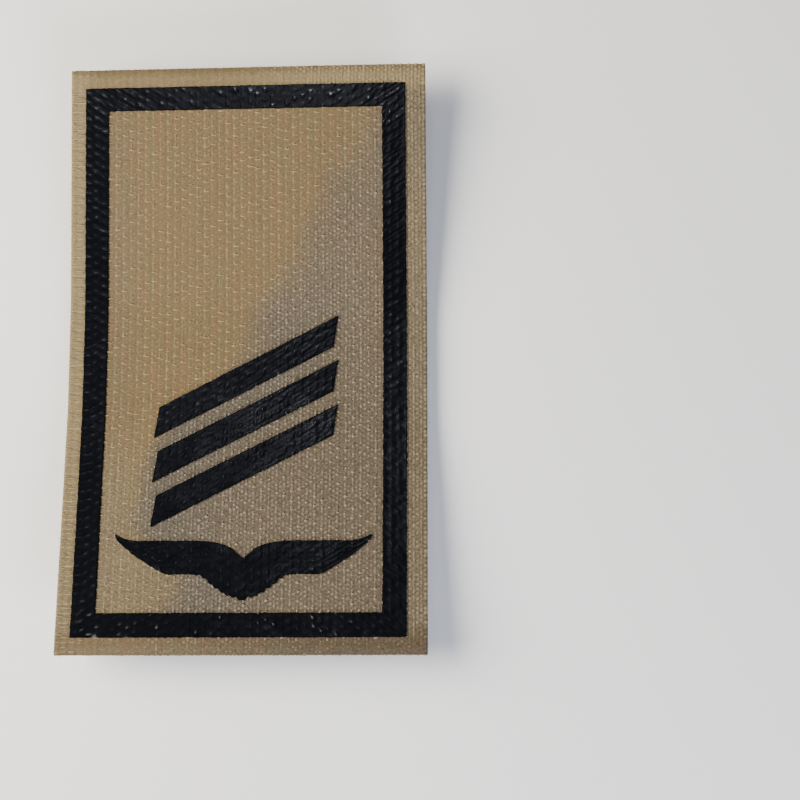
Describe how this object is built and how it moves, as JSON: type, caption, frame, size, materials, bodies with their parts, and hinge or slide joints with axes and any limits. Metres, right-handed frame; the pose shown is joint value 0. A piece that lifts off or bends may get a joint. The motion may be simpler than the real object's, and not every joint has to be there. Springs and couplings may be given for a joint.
{
  "type": "printed rank patch",
  "caption": "Rectangular uniform rank patch of woven hook tape with a printed frame, rising diagonal stripes and a spread pair of wings.",
  "frame": {"origin": "middle of the patch's box in plan, on the surface that the hooks rest on", "axes": "+X to the right across the width, +Y up the length towards the bare end over the stripes, +Z out of the printed face"},
  "size_m": [0.055, 0.09, 0.0072],
  "materials": {
    "woven_tape": "matt ribbed nylon weave",
    "hooks": "cut nylon monofilament hooks",
    "print_film": "black transfer film with a soft sheen"
  },
  "bodies": {
    "root": {"tape_ground": "woven_tape", "hook_field": "hooks", "border_print": "print_film", "upper_stripe": "print_film", "middle_stripe": "print_film", "lower_stripe": "print_film", "wings_print": "print_film"}
  },
  "joints": []
}
